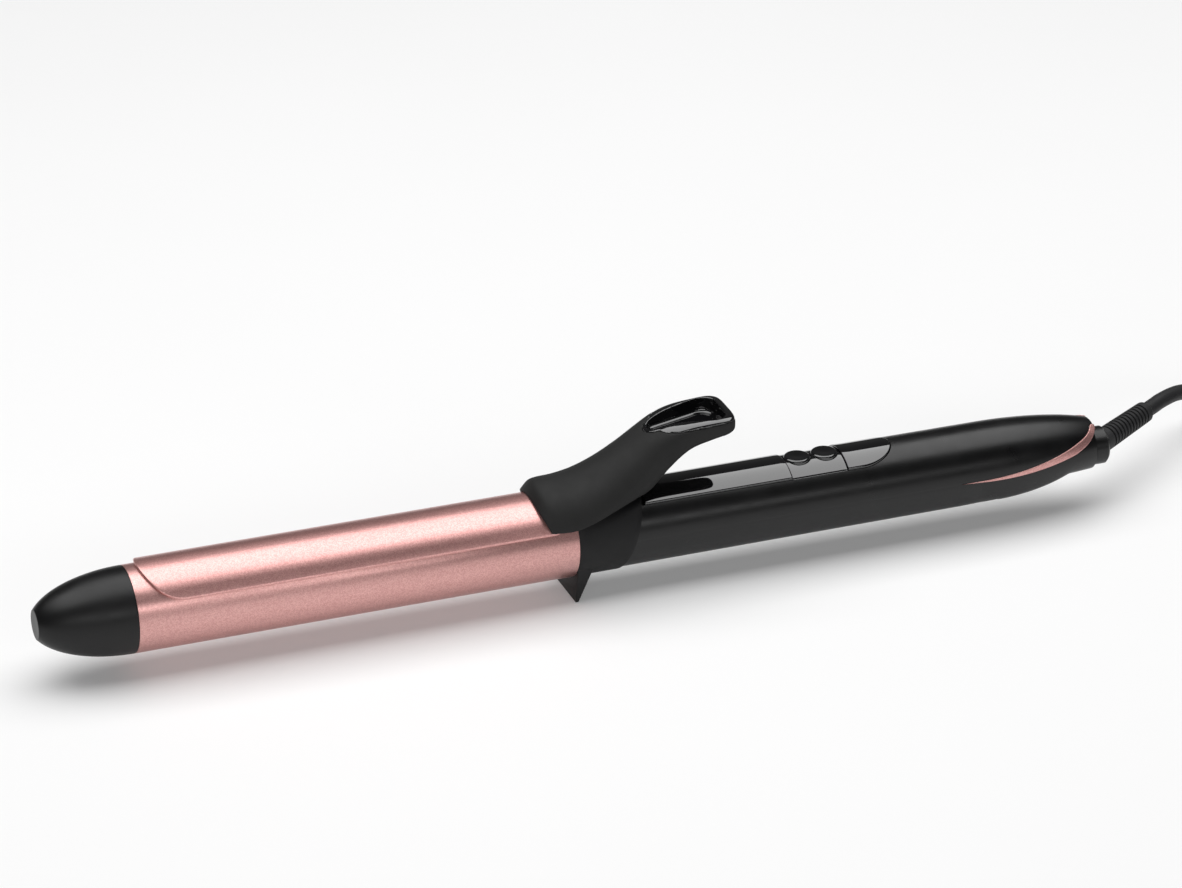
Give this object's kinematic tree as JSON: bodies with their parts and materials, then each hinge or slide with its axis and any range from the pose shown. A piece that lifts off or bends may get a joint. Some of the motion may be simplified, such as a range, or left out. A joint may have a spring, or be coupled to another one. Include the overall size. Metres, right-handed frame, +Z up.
{
  "type": "curling tong",
  "caption": "Hair curling tong with a heated round barrel, spring clamp with thumb lever, cool tip, stand foot, slim handle with push buttons, and a swivel cord.",
  "frame": {"origin": "under the middle of the wand without its cord, on the surface that the stand foot rests on", "axes": "+X from the cool tip to the cord end, +Z up through the clamp lever, +Y to the side that the cord leaves towards"},
  "size_m": [0.6322, 0.0778, 0.065],
  "materials": {
    "tip_plastic": "satin heat-resistant moulding",
    "rose_gold": "satin metallic rose-gold coating",
    "spring_steel": "bare spring steel",
    "zinc_steel": "zinc-plated steel",
    "heat_spreader": "extruded aluminium",
    "mica": "mica sheet",
    "heater_ceramic": "fired ceramic",
    "polyimide": "amber film",
    "brass": "bare brass",
    "copper": "bare copper",
    "lead_red": "silicone wire insulation",
    "lead_blue": "silicone wire insulation",
    "insulator": "heat-resistant moulding",
    "collar_plastic": "matte heat-resistant moulding",
    "soft_touch": "soft-touch coating",
    "handle_plastic": "satin moulding",
    "gloss_black": "polished piano black",
    "board": "glass-fibre board with solder mask",
    "component_black": "moulded component",
    "capacitor_yellow": "moulded film capacitor",
    "led_red": "clear tinted lens",
    "relief_rubber": "ribbed rubber",
    "cord_rubber": "matte cord sheath",
    "tie_plastic": "hook and loop strap",
    "plug_plastic": "moulded plug",
    "pin_brass": "nickel-plated brass"
  },
  "bodies": {
    "root": {"cool_tip": "tip_plastic", "tip_retaining_ring": "spring_steel", "mica_washer": "mica", "barrel_tube": "rose_gold", "heat_spreader_upper": "heat_spreader", "heat_spreader_lower": "heat_spreader", "ptc_elements": "heater_ceramic", "electrode_strips": "brass", "polyimide_sleeve": "polyimide", "thermistor": "heater_ceramic", "thermal_fuse": "zinc_steel", "heater_leads": "lead_red", "barrel_insulator": "insulator", "stand_collar": "collar_plastic", "hinge_pin": "zinc_steel", "torsion_spring": "spring_steel", "handle_upper": "handle_plastic", "handle_lower": "handle_plastic", "tail_cap": "handle_plastic", "trim_band": "rose_gold", "panel_front": "gloss_black", "panel_middle": "gloss_black", "panel_rear": "gloss_black", "circuit_board": "board", "tact_switches": "component_black", "triac": "component_black", "film_capacitor": "capacitor_yellow", "microcontroller": "component_black", "indicator_led": "led_red", "board_screws": "zinc_steel", "handle_screws": "zinc_steel", "swivel_housing": "handle_plastic", "swivel_brushes": "copper", "supply_wires": "lead_blue", "cord_lead": "cord_rubber", "cord_hank": "cord_rubber", "cord_tie": "tie_plastic", "cord_tail": "cord_rubber", "plug_body": "plug_plastic", "plug_pins": "pin_brass"},
    "clamp": {"clamp_plate": "rose_gold", "clamp_rivets": "zinc_steel", "lever_cover": "soft_touch", "thumb_dish": "gloss_black"},
    "power_button": {"power_button": "gloss_black"},
    "temperature_button": {"temperature_button": "gloss_black"},
    "cord_swivel": {"swivel_core": "handle_plastic", "slip_rings": "brass", "strain_relief": "relief_rubber"}
  },
  "joints": [
    {"name": "clamp_hinge", "type": "hinge", "parent": "root", "child": "clamp", "pos_m": [0.0035, 0, 0.0415], "axis": [0, 1, 0], "range_deg": [0, 12], "stiffness_Nm_per_rad": 0.3, "springref_deg": -34.38, "deforming": ["torsion_spring"]},
    {"name": "power_button_press", "type": "slide", "parent": "root", "child": "power_button", "axis": [0, 0, -1], "range_m": [0, 0.0008], "stiffness_N_per_m": 300, "springref_m": -0.0012},
    {"name": "temperature_button_press", "type": "slide", "parent": "root", "child": "temperature_button", "axis": [0, 0, -1], "range_m": [0, 0.0008], "stiffness_N_per_m": 300, "springref_m": -0.0012},
    {"name": "cord_swivel_turn", "type": "hinge", "parent": "root", "child": "cord_swivel", "pos_m": [0.2025, 0, 0.022], "axis": [1, 0, 0], "continuous": true}
  ]
}
